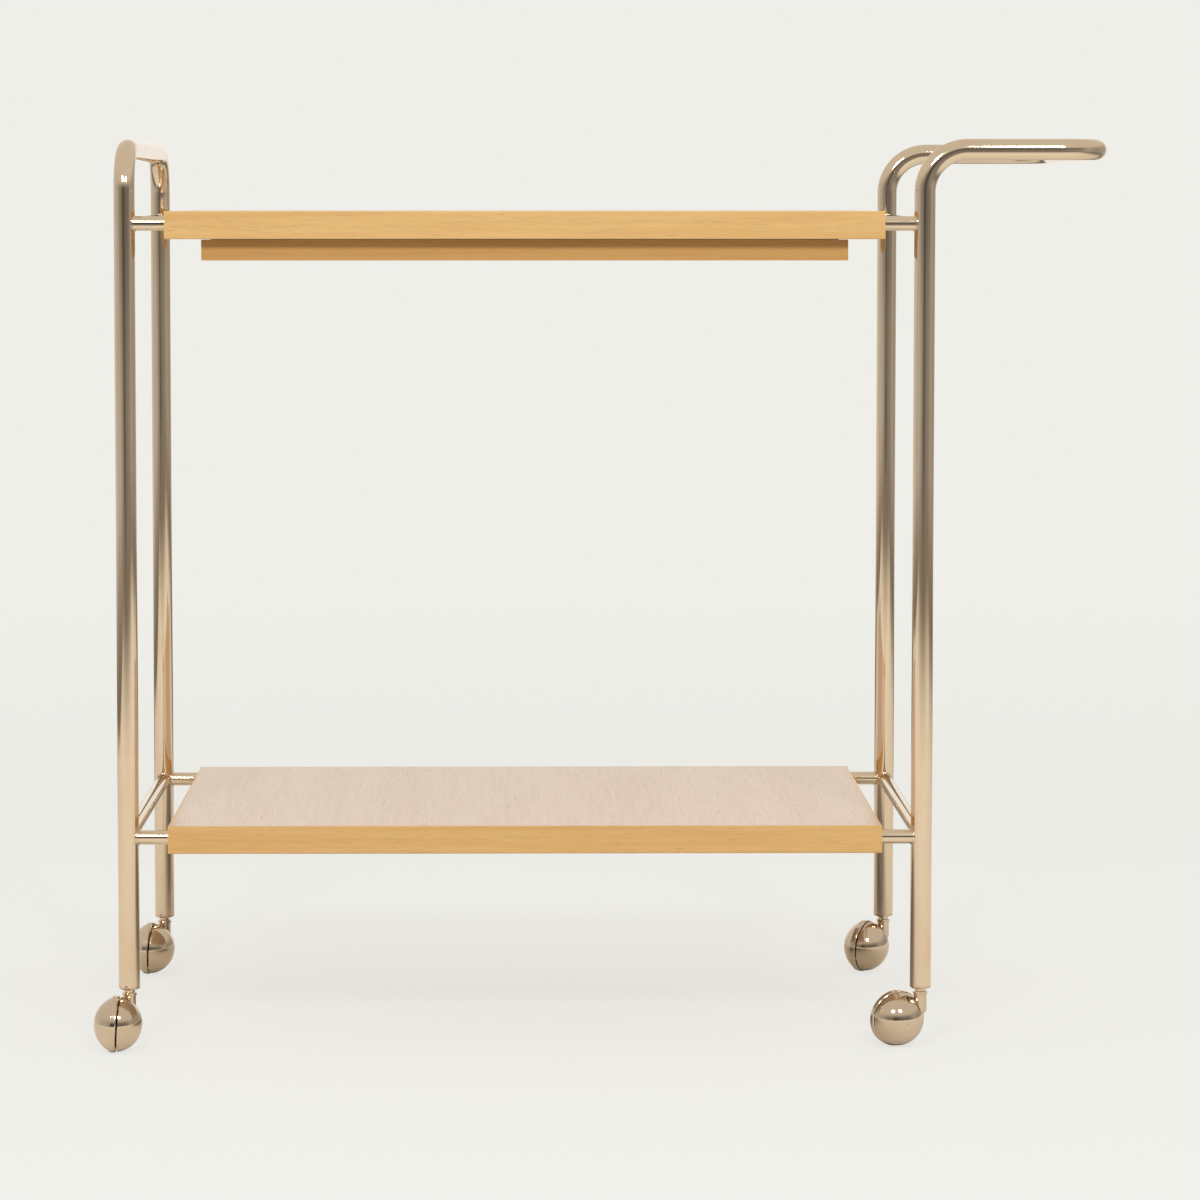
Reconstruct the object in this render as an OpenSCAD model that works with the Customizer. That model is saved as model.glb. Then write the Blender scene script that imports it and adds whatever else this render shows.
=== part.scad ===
// Bar cart on ball casters: two bent-tube end frames, two oak shelves and a shallow drawer.
// The cart's front looks along -Y, the push handle is at +X and the floor is at Z = 0.
// Every piece is laid out from the middle of the four legs, and place() moves the whole cart
// so that the origin is on the floor, under the middle of its bounding box.

/* [Tube frame] */
// Distance between the axes of the left and right legs
frame_length = 716; // [560:1:900]
// Distance between the axes of the front and back legs
frame_depth = 380; // [300:1:480]
// Height of the arch and of the handle, at the tube's axis
frame_height = 811; // [790:1:950]
// Outer diameter of the frame tube
tube_d = 19; // [17:0.5:24]
// Wall of the frame tube
tube_wall = 1.5; // [1:0.1:2]
// Radius of the tube's bends, at its axis
bend_r = 38; // [30:1:42]
// Height of the legs' open ends above the floor
leg_bottom = 56; // [54:0.5:60]
// Distance from the right leg's axis to the handle's axis
handle_reach = 158; // [110:1:220]
// Diameter of the side rails and of the rods that carry the shelves
rod_d = 13; // [11:0.5:13]

/* [Shelves] */
// Length of a shelf
shelf_length = 644; // [500:1:660]
// Depth of a shelf
shelf_depth = 396; // [320:1:396]
// Thickness of a shelf
shelf_thick = 25; // [20:1:30]
// Height of the top shelf's upper face
top_shelf_z = 756; // [700:1:760]
// Height of the lower shelf's upper face
lower_shelf_z = 203; // [180:1:300]
// Thickness of the solid oak edging
edging_thick = 3; // [2:0.5:3]
// Chamfer along the outer corners of the edging
edging_chamfer = 0.8; // [0.4:0.1:1]
// Diameter of the spigot on a rod's end, which enters the shelf
spigot_d = 8; // [6:0.5:9]
// Depth of the spigot in the shelf
spigot_depth = 24; // [12:1:40]
// Height of the rods' axis above the middle of a shelf's thickness
rod_lift = 1.5; // [0:0.5:2]

/* [Drawer] */
// Width of the drawer's front
drawer_front_w = 580; // [480:1:600]
// Height of the drawer's front
drawer_front_h = 18.6; // [17:0.1:26]
// Distance of the drawer's front behind the shelf's edge
drawer_recess = 15; // [8:1:30]
// Thickness of the drawer's front
drawer_front_thick = 12; // [10:1:16]
// Outer width of the drawer's box, behind its front
drawer_box_w = 520; // [420:1:530]
// Length of the drawer's box, behind its front
drawer_box_l = 321; // [250:1:330]
// Thickness of the drawer's sides and back
drawer_wall = 10; // [8:1:12]
// Thickness of the drawer's bottom
drawer_bottom_thick = 3; // [3:0.5:5]
// How far the drawer pulls out
drawer_travel = 200; // [100:1:220]

/* [Casters] */
// Radius of the wheel's rolling edge
wheel_r = 25.4; // [24:0.1:27]
// Distance of the ball behind the swivel axis
caster_trail = 18; // [17:0.5:20]
// Distance of the ball to the wheel side of the swivel axis
caster_side = 8.2; // [8:0.1:9]
// Upward tilt of the wheel's axle, in degrees
axle_tilt = 4; // [3:0.5:8]
// Diameter of the swivel stem
stem_d = 8; // [7:0.5:8]
// Direction that the front left wheel faces, in degrees from +X
heading_front_left = 180; // [0:1:359]
// Direction that the front right wheel faces, in degrees from +X
heading_front_right = 112; // [0:1:359]
// Direction that the back left wheel faces, in degrees from +X
heading_back_left = 173; // [0:1:359]
// Direction that the back right wheel faces, in degrees from +X
heading_back_right = 147; // [0:1:359]

/* [Hidden] */
$fn = 96;
// Overlap of a cutting shape past the face that it opens
cut = 1;

// Colours of the finishes
plated = [0.80, 0.69, 0.54];
plated_dark = [0.62, 0.53, 0.41];
oak = [0.88, 0.70, 0.45];
oak_pale = [0.88, 0.79, 0.66];
birch_ply = [0.86, 0.74, 0.56];
zinc_screw = [0.72, 0.70, 0.66];
nylon = [0.25, 0.24, 0.23];

// Frame
leg_x = frame_length / 2;
leg_y = frame_depth / 2;
bend_z = frame_height - bend_r;
handle_x = leg_x + handle_reach;
top_rod_z = top_shelf_z - shelf_thick / 2 + rod_lift;
lower_rod_z = lower_shelf_z - shelf_thick / 2 + rod_lift;

// Shelves
half_shelf_l = shelf_length / 2;
half_shelf_d = shelf_depth / 2;
panel_l = shelf_length - 2 * edging_thick;
panel_d = shelf_depth - 2 * edging_thick;

// Drawer, hung on tongues that run in grooves along its sides
shelf_under_z = top_shelf_z - shelf_thick;
drawer_gap = 0.6;
drawer_top_z = shelf_under_z - drawer_gap;
drawer_front_y = -half_shelf_d + drawer_recess;
drawer_box_y = drawer_front_y + drawer_front_thick;
drawer_box_h = drawer_front_h - 1;
drawer_back_y = drawer_box_y + drawer_box_l;
groove_h = 6;
groove_depth = 4.5;
groove_z = drawer_top_z - drawer_box_h / 2 - groove_h / 2;
slide_gap = 0.3;
side_gap = 0.5;
runner_w = 22;
runner_h = 17;
runner_x = drawer_box_w / 2 + side_gap + runner_w / 2;
stop_w = 40;
stop_l = 15;
stop_h = 8;
stop_y = drawer_back_y - drawer_wall - drawer_travel - slide_gap - stop_l;
finger_groove_l = 220;
finger_groove_r = 4;

// Wood screws under the top shelf
screw_d = 3.5;
screw_head_d = 7;
screw_head_h = 2.4;
screw_hole_d = 4;
screw_bite = 11;
runner_screw_y = [-140, -10, 120];
stop_screw_x = [-11, 11];

// Casters, each drawn about its swivel axis with the wheel facing +X
ball_gap = 0.7;
tread_round = 1.5;
tread_flat = 3.5;
tread_axis_r = wheel_r - tread_round;
tread_s = ball_gap + tread_round;
ball_z = tread_axis_r * cos(axle_tilt) + tread_round - tread_s * sin(axle_tilt);
dome_shoulder_r = 24.2;
dome_shoulder_s = ball_gap + 2 * tread_round + tread_flat;
dome_apex_s = 22.5;
dome_rise = dome_apex_s - dome_shoulder_s;
dome_r = (dome_shoulder_r * dome_shoulder_r + dome_rise * dome_rise) / (2 * dome_rise);
hood_mouth_r = 24.5;
hood_rise = 20.5;
hood_r = (hood_mouth_r * hood_mouth_r + hood_rise * hood_rise) / (2 * hood_rise);
hood_floor_gap = 1.5;
shell_wall = 2.2;
hub_r = 6;
hub_gap = 0.6;
washer_r = 5;
washer_thick = 0.9;
axle_d = 6;
axle_bite = 15;
running_gap = 0.05;
boss_r = 5.75;
boss_top_z = 48;
boss_foot_z = 35;
stem_foot_z = 33;
collar_d = 13;
collar_h = 2.5;
neck_d = 9.5;
stem_insert_l = 28;
insert_l = 32;
insert_lip = 2;
insert_chamfer = 1.2;
big = 80;

corners = [
    [-1, -1, heading_front_left],
    [1, -1, heading_front_right],
    [-1, 1, heading_back_left],
    [1, 1, heading_back_right]
];
front_left = 0;
front_right = 1;
back_left = 2;
back_right = 3;

// The middle of the bounding box, which the casters and the handle make lopsided
box_left = -leg_x - caster_side - dome_apex_s;
box_right = handle_x + tube_d / 2;
box_front = -leg_y - caster_trail - wheel_r;
box_back = leg_y + tube_d / 2;
box_middle = [(box_left + box_right) / 2, (box_front + box_back) / 2, 0];

// ---- Placing ----

module place() {
    translate(-box_middle) children();
}

// Moves a caster piece under its leg and turns it to its heading
module at_caster(corner) {
    spot = corners[corner];
    place() translate([spot[0] * leg_x, spot[1] * leg_y, 0]) rotate([0, 0, spot[2]]) children();
}

// Puts a shape of revolution about +Z on the tilted axle, with +Z towards the wheel
module on_axle() {
    translate([caster_side, caster_trail, ball_z]) rotate([0, 90 - axle_tilt, 0]) children();
}

// ---- Tube frame ----

// A quarter of a ring in the XY plane, from the +X axis to the +Y axis
module bend(diameter) {
    rotate_extrude(angle = 90) translate([bend_r, 0]) circle(d = diameter);
}

// The left frame's route, an upside-down U, filled to a diameter
module left_frame_route(diameter, past_end) {
    for (side = [-1, 1]) {
        translate([0, side * leg_y, leg_bottom - past_end])
            cylinder(d = diameter, h = bend_z - leg_bottom + past_end);
        translate([0, side * (leg_y - bend_r), bend_z])
            rotate([90, 0, side * 90]) bend(diameter);
    }
    translate([0, bend_r - leg_y, frame_height])
        rotate([-90, 0, 0]) cylinder(d = diameter, h = frame_depth - 2 * bend_r);
}

// The right frame's route: up both legs, out along the arms and across the grip
module right_frame_route(diameter, past_end) {
    for (side = [-1, 1]) {
        translate([leg_x, side * leg_y, leg_bottom - past_end])
            cylinder(d = diameter, h = bend_z - leg_bottom + past_end);
        translate([leg_x + bend_r, side * leg_y, bend_z])
            rotate([90, 0, 0]) rotate([0, 0, 90]) bend(diameter);
        translate([leg_x + bend_r, side * leg_y, frame_height])
            rotate([0, 90, 0]) cylinder(d = diameter, h = handle_reach - 2 * bend_r);
        translate([handle_x - bend_r, side * (leg_y - bend_r), frame_height])
            rotate([0, 0, side < 0 ? -90 : 0]) bend(diameter);
    }
    translate([handle_x, bend_r - leg_y, frame_height])
        rotate([-90, 0, 0]) cylinder(d = diameter, h = frame_depth - 2 * bend_r);
}

module left_frame_tube() {
    color(plated) place() translate([-leg_x, 0, 0]) difference() {
        left_frame_route(tube_d, 0);
        left_frame_route(tube_d - 2 * tube_wall, cut);
    }
}

module right_frame_tube() {
    color(plated) place() difference() {
        right_frame_route(tube_d, 0);
        right_frame_route(tube_d - 2 * tube_wall, cut);
    }
}

// A rail from the front leg to the back leg, with its ends shaped to the tubes
module side_rail(side, height) {
    color(plated) place() translate([side * leg_x, 0, height]) difference() {
        translate([0, -leg_y, 0]) rotate([-90, 0, 0]) cylinder(d = rod_d, h = frame_depth);
        for (end = [-1, 1])
            translate([0, end * leg_y, -rod_d]) cylinder(d = tube_d, h = 2 * rod_d);
    }
}

// A rod from a leg to the end of a shelf, with a spigot that enters the shelf
module shelf_rod(side, end, height) {
    color(plated) place() translate([0, end * leg_y, height]) difference() {
        rotate([0, side * 90, 0]) {
            translate([0, 0, half_shelf_l]) cylinder(d = rod_d, h = leg_x - half_shelf_l);
            translate([0, 0, half_shelf_l - spigot_depth])
                cylinder(d = spigot_d, h = spigot_depth + cut);
        }
        translate([side * leg_x, 0, -rod_d]) cylinder(d = tube_d, h = 2 * rod_d);
    }
}

// ---- Shelves ----

// The holes that the rods' spigots fill, at the four ends of a shelf
module spigot_holes() {
    for (side = [-1, 1], end = [-1, 1])
        translate([side * (half_shelf_l - spigot_depth), end * leg_y, rod_lift - shelf_thick / 2])
            rotate([0, side * 90, 0]) cylinder(d = spigot_d, h = spigot_depth + cut);
}

// The veneered panel of a shelf, with its upper face at Z = 0
module shelf_panel() {
    difference() {
        translate([-panel_l / 2, -panel_d / 2, -shelf_thick]) cube([panel_l, panel_d, shelf_thick]);
        spigot_holes();
    }
}

// The section of an edging strip: flat against the panel at Y = 0, chamfered outside
module edging_section() {
    polygon([
        [0, 0],
        [edging_thick - edging_chamfer, 0],
        [edging_thick, -edging_chamfer],
        [edging_thick, edging_chamfer - shelf_thick],
        [edging_thick - edging_chamfer, -shelf_thick],
        [0, -shelf_thick]
    ]);
}

// A strip along the front or the back of a shelf, over its whole length
module long_edging(end) {
    mirror([0, end > 0 ? 0 : 1, 0]) translate([-half_shelf_l, panel_d / 2, 0])
        rotate([90, 0, 90]) linear_extrude(shelf_length) edging_section();
}

// A strip across one end of a shelf, between the long strips
module short_edging(side) {
    difference() {
        mirror([side > 0 ? 0 : 1, 0, 0]) translate([panel_l / 2, panel_d / 2, 0])
            rotate([90, 0, 0]) linear_extrude(panel_d) edging_section();
        spigot_holes();
    }
}

module top_shelf_panel() {
    color(oak_pale) place() translate([0, 0, top_shelf_z]) difference() {
        shelf_panel();
        for (spot = screw_spots)
            translate([spot[0], spot[1], -shelf_thick - cut]) cylinder(d = screw_d, h = screw_bite + cut);
    }
}

module lower_shelf_panel() {
    color(oak_pale) place() translate([0, 0, lower_shelf_z]) shelf_panel();
}

module shelf_long_edging(height, end) {
    color(oak) place() translate([0, 0, height]) long_edging(end);
}

module shelf_short_edging(height, side) {
    color(oak) place() translate([0, 0, height]) short_edging(side);
}

// ---- Drawer ----

module drawer_front() {
    color(oak) place() difference() {
        translate([-drawer_front_w / 2, drawer_front_y, drawer_top_z - drawer_front_h])
            cube([drawer_front_w, drawer_front_thick, drawer_front_h]);
        translate([-finger_groove_l / 2, drawer_front_y + drawer_front_thick / 2,
                drawer_top_z - drawer_front_h])
            rotate([0, 90, 0]) cylinder(r = finger_groove_r, h = finger_groove_l);
    }
}

module drawer_side(side) {
    color(birch_ply) place() mirror([side > 0 ? 0 : 1, 0, 0]) difference() {
        translate([drawer_box_w / 2 - drawer_wall, drawer_box_y, drawer_top_z - drawer_box_h])
            cube([drawer_wall, drawer_box_l, drawer_box_h]);
        translate([drawer_box_w / 2 - groove_depth, drawer_box_y - cut, groove_z])
            cube([groove_depth + cut, drawer_box_l + 2 * cut, groove_h]);
    }
}

module drawer_back() {
    color(birch_ply) place()
        translate([drawer_wall - drawer_box_w / 2, drawer_back_y - drawer_wall, drawer_top_z - drawer_box_h])
            cube([drawer_box_w - 2 * drawer_wall, drawer_wall, drawer_box_h]);
}

module drawer_bottom() {
    color(birch_ply) place()
        translate([drawer_wall - drawer_box_w / 2, drawer_box_y, drawer_top_z - drawer_box_h])
            cube([drawer_box_w - 2 * drawer_wall, drawer_box_l - drawer_wall, drawer_bottom_thick]);
}

// ---- Fixed pieces under the top shelf ----

// The screws' places: three in each runner and two in the drawer's stop
screw_spots = concat(
    [for (side = [-1, 1], y = runner_screw_y) [side * runner_x, y, runner_h]],
    [for (x = stop_screw_x) [x, stop_y + stop_l / 2, stop_h]]
);

module screw_holes() {
    for (spot = screw_spots)
        translate([spot[0], spot[1], shelf_under_z - spot[2] - cut]) {
            cylinder(d = screw_hole_d, h = spot[2] + 2 * cut);
            cylinder(d = screw_head_d, h = cut);
            translate([0, 0, cut]) cylinder(d1 = screw_head_d, d2 = screw_hole_d, h = screw_head_h);
        }
}

// A runner beside the drawer, with the tongue that carries it
module runner(side) {
    color(oak) place() difference() {
        mirror([side > 0 ? 0 : 1, 0, 0]) {
            translate([runner_x - runner_w / 2, drawer_box_y + side_gap, shelf_under_z - runner_h])
                cube([runner_w, drawer_box_l - side_gap, runner_h]);
            translate([runner_x - runner_w / 2 - groove_depth, drawer_box_y + side_gap, groove_z + slide_gap])
                cube([groove_depth + cut, drawer_box_l - side_gap, groove_h - 2 * slide_gap]);
        }
        screw_holes();
    }
}

// A block that meets the drawer's back when it is pulled right out
module drawer_stop() {
    color(oak) place() difference() {
        translate([-stop_w / 2, stop_y, shelf_under_z - stop_h]) cube([stop_w, stop_l, stop_h]);
        screw_holes();
    }
}

// Countersunk wood screws with cross recesses, heads down
module underside_screws() {
    recess_w = 1;
    recess_l = 4;
    recess_depth = 1.4;
    color(zinc_screw) place()
        for (spot = screw_spots)
            translate([spot[0], spot[1], shelf_under_z - spot[2]]) difference() {
                union() {
                    cylinder(d1 = screw_head_d - 0.4, d2 = screw_d, h = screw_head_h);
                    cylinder(d = screw_d, h = spot[2] + screw_bite);
                }
                for (turn = [0, 90])
                    rotate([0, 0, turn]) translate([-recess_l / 2, -recess_w / 2, -cut])
                        cube([recess_l, recess_w, recess_depth + cut]);
            }
}

// ---- Casters ----

// The plug in a leg's open end, with a chamfered lip under the tube
module leg_insert(corner) {
    color(plated) at_caster(corner) difference() {
        union() {
            translate([0, 0, leg_bottom]) cylinder(d = tube_d - 2 * tube_wall, h = insert_l);
            translate([0, 0, leg_bottom - insert_lip])
                cylinder(d1 = tube_d - 2 * insert_chamfer, d2 = tube_d, h = insert_chamfer);
            translate([0, 0, leg_bottom - insert_lip + insert_chamfer])
                cylinder(d = tube_d, h = insert_lip - insert_chamfer);
        }
        translate([0, 0, leg_bottom - insert_lip - cut])
            cylinder(d = stem_d, h = stem_insert_l + insert_lip + cut);
    }
}

// The swivel stem: fixed in the leg above, and the hood turns on its lower end
module stem(corner) {
    color(plated) at_caster(corner) {
        translate([0, 0, stem_foot_z]) cylinder(d = stem_d, h = leg_bottom + stem_insert_l - stem_foot_z);
        translate([0, 0, boss_top_z + slide_gap]) cylinder(d = collar_d, h = collar_h);
        translate([0, 0, boss_top_z + slide_gap])
            cylinder(d = neck_d, h = leg_bottom - insert_lip - boss_top_z - slide_gap);
    }
}

// The fixed half of the ball: a hollow dome with the boss that swivels on the stem
module hood(corner) {
    color(plated) at_caster(corner) difference() {
        union() {
            on_axle() difference() {
                hood_dome(0);
                hood_dome(shell_wall);
            }
            on_axle() intersection() {
                translate([0, 0, -big - hub_gap]) cylinder(r = hub_r, h = big);
                hood_dome(shell_wall / 2);
            }
            translate([0, 0, boss_foot_z]) cylinder(r = boss_r, h = boss_top_z - boss_foot_z);
            translate([0, 0, boss_foot_z]) sphere(r = boss_r);
        }
        on_axle() translate([0, 0, -axle_bite]) cylinder(d = axle_d, h = axle_bite + cut);
        translate([0, 0, stem_foot_z - cut]) cylinder(d = stem_d + 2 * running_gap, h = boss_top_z);
        translate([-big / 2, -big / 2, hood_floor_gap - big]) cube(big);
    }
}

// The hood's domed outline, drawn in by a distance from its outer face
module hood_dome(inset) {
    mouth_s = inset > 0 ? hub_gap : ball_gap;
    intersection() {
        translate([0, 0, hood_r - hood_rise - ball_gap]) sphere(r = hood_r - inset);
        translate([0, 0, -big - mouth_s]) cylinder(r = big, h = big);
    }
}

module axle(corner) {
    color(plated_dark) at_caster(corner) on_axle()
        translate([0, 0, -axle_bite]) cylinder(d = axle_d, h = 2 * axle_bite);
}

module washer(corner) {
    color(nylon) at_caster(corner) on_axle() translate([0, 0, -hub_gap]) difference() {
        cylinder(r = washer_r, h = washer_thick);
        translate([0, 0, -cut]) cylinder(d = axle_d, h = washer_thick + 2 * cut);
    }
}

// The rim of the wheel, filled, with a rounded rolling edge
module wheel_rim() {
    rotate_extrude() {
        translate([0, ball_gap]) square([tread_axis_r, 2 * tread_round + tread_flat]);
        translate([0, tread_s]) square([wheel_r, tread_flat]);
        for (s = [tread_s, tread_s + tread_flat])
            translate([tread_axis_r, s]) circle(r = tread_round);
    }
}

// The wheel's dome, drawn in by a distance from its outer face
module wheel_dome(inset) {
    intersection() {
        translate([0, 0, dome_apex_s - dome_r]) sphere(r = dome_r - inset);
        translate([0, 0, inset > 0 ? 0 : ball_gap]) cylinder(r = big, h = big);
    }
}

// The rolling half of the ball: a hollow dome on a hub
module wheel(corner) {
    color(plated) at_caster(corner) on_axle() difference() {
        union() {
            difference() {
                union() {
                    wheel_rim();
                    intersection() {
                        wheel_dome(0);
                        cylinder(r = dome_shoulder_r, h = big);
                    }
                }
                wheel_dome(shell_wall);
            }
            intersection() {
                translate([0, 0, hub_gap]) cylinder(r = hub_r, h = big);
                translate([0, 0, dome_apex_s - dome_r]) sphere(r = dome_r - shell_wall / 2);
            }
        }
        cylinder(d = axle_d + 2 * running_gap, h = axle_bite + cut / 2);
    }
}

// ---- Nodes ----

left_frame_tube();
right_frame_tube();
side_rail(-1, top_rod_z);  // upper_left_rail
side_rail(1, top_rod_z);  // upper_right_rail
side_rail(-1, lower_rod_z);  // lower_left_rail
side_rail(1, lower_rod_z);  // lower_right_rail
shelf_rod(-1, -1, top_rod_z);  // upper_front_left_rod
shelf_rod(1, -1, top_rod_z);  // upper_front_right_rod
shelf_rod(-1, 1, top_rod_z);  // upper_back_left_rod
shelf_rod(1, 1, top_rod_z);  // upper_back_right_rod
shelf_rod(-1, -1, lower_rod_z);  // lower_front_left_rod
shelf_rod(1, -1, lower_rod_z);  // lower_front_right_rod
shelf_rod(-1, 1, lower_rod_z);  // lower_back_left_rod
shelf_rod(1, 1, lower_rod_z);  // lower_back_right_rod
top_shelf_panel();
shelf_long_edging(top_shelf_z, -1);  // top_shelf_front_edging
shelf_long_edging(top_shelf_z, 1);  // top_shelf_back_edging
shelf_short_edging(top_shelf_z, -1);  // top_shelf_left_edging
shelf_short_edging(top_shelf_z, 1);  // top_shelf_right_edging
lower_shelf_panel();
shelf_long_edging(lower_shelf_z, -1);  // lower_shelf_front_edging
shelf_long_edging(lower_shelf_z, 1);  // lower_shelf_back_edging
shelf_short_edging(lower_shelf_z, -1);  // lower_shelf_left_edging
shelf_short_edging(lower_shelf_z, 1);  // lower_shelf_right_edging
drawer_front();
drawer_side(-1);  // drawer_left_side
drawer_side(1);  // drawer_right_side
drawer_back();
drawer_bottom();
runner(-1);  // left_runner
runner(1);  // right_runner
drawer_stop();
underside_screws();
leg_insert(front_left);  // front_left_leg_insert
leg_insert(front_right);  // front_right_leg_insert
leg_insert(back_left);  // back_left_leg_insert
leg_insert(back_right);  // back_right_leg_insert
stem(front_left);  // front_left_stem
stem(front_right);  // front_right_stem
stem(back_left);  // back_left_stem
stem(back_right);  // back_right_stem
hood(front_left);  // front_left_hood
hood(front_right);  // front_right_hood
hood(back_left);  // back_left_hood
hood(back_right);  // back_right_hood
axle(front_left);  // front_left_axle
axle(front_right);  // front_right_axle
axle(back_left);  // back_left_axle
axle(back_right);  // back_right_axle
washer(front_left);  // front_left_washer
washer(front_right);  // front_right_washer
washer(back_left);  // back_left_washer
washer(back_right);  // back_right_washer
wheel(front_left);  // front_left_wheel
wheel(front_right);  // front_right_wheel
wheel(back_left);  // back_left_wheel
wheel(back_right);  // back_right_wheel
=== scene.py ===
"""Finishes the bar cart around its CAD frame: plated bent tubes, oak shelves and ball casters."""

import math

import bmesh
import bpy
from bpy.props import FloatProperty, FloatVectorProperty, PointerProperty
from bpy.types import Operator, Panel, PropertyGroup
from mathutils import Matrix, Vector


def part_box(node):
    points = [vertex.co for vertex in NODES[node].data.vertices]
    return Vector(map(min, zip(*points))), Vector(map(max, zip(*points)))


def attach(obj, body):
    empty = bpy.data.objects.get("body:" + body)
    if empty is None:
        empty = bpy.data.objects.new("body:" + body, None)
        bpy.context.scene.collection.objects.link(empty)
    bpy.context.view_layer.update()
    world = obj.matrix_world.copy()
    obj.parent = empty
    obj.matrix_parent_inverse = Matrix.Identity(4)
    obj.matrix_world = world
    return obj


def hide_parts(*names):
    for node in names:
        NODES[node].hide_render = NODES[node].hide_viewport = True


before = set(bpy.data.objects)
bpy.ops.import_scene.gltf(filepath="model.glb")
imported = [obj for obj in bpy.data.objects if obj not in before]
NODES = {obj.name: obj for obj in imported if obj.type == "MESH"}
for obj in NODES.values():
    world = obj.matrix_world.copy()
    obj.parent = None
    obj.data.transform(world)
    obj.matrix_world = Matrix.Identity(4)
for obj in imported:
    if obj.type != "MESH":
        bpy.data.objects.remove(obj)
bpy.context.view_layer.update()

bl_info = {
    "name": "Bar cart",
    "version": (1, 0, 0),
    "blender": (4, 5, 0),
    "location": "3D View > Sidebar > Bar Cart",
    "description": "Finishes a bar cart with plated bent tubes, oak shelves and ball casters",
    "category": "Object",
}

MM = 0.001
QUARTER_TURN = math.radians(90)

# Tints multiply a colour's three channels.
WORN_TINT = (0.97, 0.93, 0.88)
# Painted shade: the lower shelf's edging is a darker copy of the top shelf's oak, for the lesser light that
# reaches it.
LOWER_SHADE_ON_LIGHT_WOOD, LOWER_SHADE_ON_DARK_WOOD = (0.87, 0.83, 0.80), (0.87, 0.82, 0.79)
# Painted shade: the drawer front is a darker copy of the same oak, for the shade under the top shelf's
# overhang.
DRAWER_SHADE_ON_LIGHT_WOOD, DRAWER_SHADE_ON_DARK_WOOD = (0.78, 0.68, 0.56), (0.77, 0.66, 0.54)
RUNNER_TINT = (0.85, 0.85, 0.85)
PORE_BROWN = (0.22, 0.115, 0.045, 1)
BIRCH_LIGHT, BIRCH_DARK = (0.74, 0.56, 0.34), (0.68, 0.49, 0.28)
NYLON_BLACK = (0.035, 0.033, 0.03)

# Which finish goes on the nodes whose names end so.
FINISHES = (
    (("_tube", "_rail", "_rod"), "tube_plating"),
    (("_hood", "_wheel", "_stem", "_insert"), "caster_plating"),
    (("_axle",), "axle_steel"),
    (("_washer",), "washer_nylon"),
    (("top_shelf_front_edging", "top_shelf_back_edging"), "long_edging_oak"),
    (("lower_shelf_front_edging", "lower_shelf_back_edging"), "shaded_lower_edging_oak"),
    (("left_edging", "right_edging"), "end_edging_oak"),
    (("top_shelf_panel",), "top_veneer_oak_and_sheen"),
    (("lower_shelf_panel",), "lower_veneer_oak_and_sheen"),
    (("drawer_front",), "shaded_drawer_front_oak"),
    (("_runner", "drawer_stop"), "runner_oak"),
    (("drawer_left_side", "drawer_right_side", "drawer_back", "drawer_bottom"), "drawer_birch"),
    (("underside_screws",), "screw_zinc"),
)

# Places of the screws: along a runner from the cart's middle, and across the stop.
RUNNER_SCREWS = (-0.140, -0.010, 0.120)
STOP_SCREWS = (-0.011, 0.011)
FIRST_SCREW_TURN, SCREW_TURN_STEP = 0.3, 0.77

# The dim room that the plating reflects: the walls' brightness by direction in degrees,
# where 0 is the cart's front and 90 its handle end, then the tints of walls, ceiling and floor.
WALL_TONES = (
    (-164, 0.90), (-146, 0.66), (-114, 0.66), (-83, 0.52), (-57, 0.54), (-34, 0.38), (-20, 0.30),
    (-11, 0.12), (-2, 0.13), (10, 0.22), (26, 0.27), (48, 0.31), (73, 0.44), (101, 0.36), (142, 0.42),
    (160, 0.88), (180, 0.90),
)
WALL_TINT = (1.0, 0.965, 0.90)
CEILING_COLOUR = (0.73, 0.68, 0.61, 1)
DIM_FLOOR = (0.19, 0.17, 0.15, 1)
# Painted shadow: a near-black patch on the floor under the cart, seen only in reflections.
PAINTED_CART_SHADOW = (0.02, 0.017, 0.014, 1)
SHADOW_TINT = (0.195, 0.207, 0.222)
PAPER_GLOW = 0.812

KEY_LIGHTS = (("key_left", (-1.05, -3.5, 2.65)), ("key_right", (1.15, -3.5, 2.65)))
KEY_SIZE = 0.72
KEY_WATTS = 47
CART_MIDDLE = (0, 0, 0.45)


# ---- Settings ----


class MetalSettings(PropertyGroup):
    """Finish of the plated tubes and casters"""

    plating: FloatVectorProperty(
        name="Plating", description="Colour of the polished plating", subtype="COLOR",
        default=(0.785, 0.645, 0.485), min=0, max=1,
    )
    roughness: FloatProperty(
        name="Roughness", description="Roughness of the clean plating", default=0.055, min=0.02, max=0.5,
    )
    smudge: FloatProperty(
        name="Smudges", description="Extra roughness where hands have touched", default=0.05, min=0, max=0.4,
    )
    bend_radius: FloatProperty(
        name="Bend radius", description="Radius of the tubes' bends, at their axis", default=0.038,
        unit="LENGTH",
    )
    wall: FloatProperty(
        name="Tube wall", description="Thickness of the frame tubes' wall", default=0.0015, unit="LENGTH",
    )
    bead: FloatProperty(
        name="Solder bead", description="Radius of the bead round each joint of the frame",
        default=0.0009, unit="LENGTH",
    )


class ScrewSettings(PropertyGroup):
    """Sizes of the countersunk screws under the top shelf"""

    head_radius: FloatProperty(
        name="Head radius", description="Radius of a screw's head", default=0.0035, unit="LENGTH",
    )
    head_depth: FloatProperty(
        name="Head depth", description="Depth of the countersunk head", default=0.0024, unit="LENGTH",
    )
    shank_radius: FloatProperty(
        name="Shank radius", description="Radius of the shank", default=0.00175, unit="LENGTH",
    )
    length: FloatProperty(
        name="Shank length", description="Length of the shank above the head", default=0.016,
        unit="LENGTH",
    )


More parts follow.
